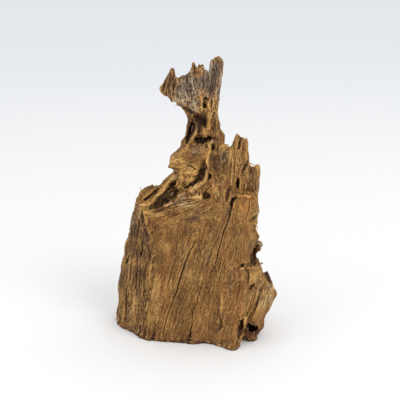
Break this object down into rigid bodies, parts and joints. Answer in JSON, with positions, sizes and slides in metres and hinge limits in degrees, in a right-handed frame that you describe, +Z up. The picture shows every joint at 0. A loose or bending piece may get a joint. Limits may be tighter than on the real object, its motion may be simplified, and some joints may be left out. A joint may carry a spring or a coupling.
{
  "type": "driftwood",
  "caption": "Upright weathered driftwood with leaning cracked grain, a hollowed shoulder, a side root, a broken spire and a narrow neck under a flat horned crown, cut flat at its base.",
  "frame": {"origin": "centre of the bounding box of the whole piece, on the plane of its flat sawn base", "axes": "+Z up from the base to the crown; +X to the right and -Y towards a viewer who faces the broad cracked front"},
  "size_m": [0.14, 0.0838, 0.2391],
  "materials": {
    "brown_wood": "matt",
    "grey_wood": "matt"
  },
  "bodies": {
    "root": {"trunk": "brown_wood", "side_root": "brown_wood", "right_spire": "brown_wood", "neck": "brown_wood", "crown": "grey_wood", "left_horn": "brown_wood", "right_horn": "grey_wood"}
  },
  "joints": []
}
